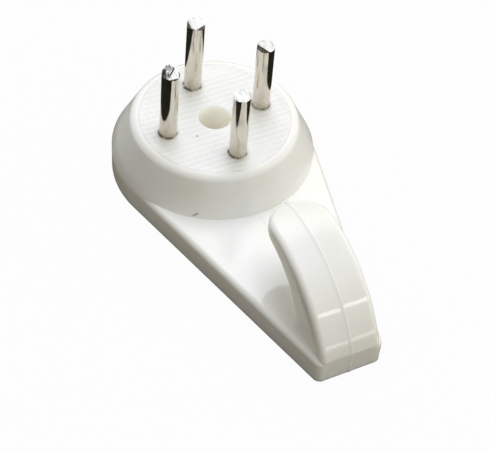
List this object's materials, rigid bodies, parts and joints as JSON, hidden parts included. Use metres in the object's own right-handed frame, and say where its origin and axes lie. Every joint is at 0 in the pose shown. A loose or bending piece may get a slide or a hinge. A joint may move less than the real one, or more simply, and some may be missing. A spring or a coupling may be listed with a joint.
{
  "type": "hard wall picture hook",
  "caption": "White moulded picture hook for hard walls: a teardrop back plate with a curled hook tongue and a round boss that carries short steel pins and a screw hole.",
  "frame": {"origin": "on the axis of the screw hole and boss, in the flat back face that lies on the wall", "axes": "+X across the hook, +Y up the wall from the hook tongue to the boss, +Z out of the wall along the pins"},
  "size_m": [0.0229, 0.0444, 0.0167],
  "materials": {
    "body_plastic": "glossy white injection-moulded plastic, with a fine square grain on the boss's face",
    "pin_steel": "bright nickel-plated steel wire with fine drawing lines and sheared ends"
  },
  "bodies": {
    "root": {"hook_body": "body_plastic", "pin_left": "pin_steel", "pin_top": "pin_steel", "pin_right": "pin_steel", "pin_bottom": "pin_steel"}
  },
  "joints": []
}
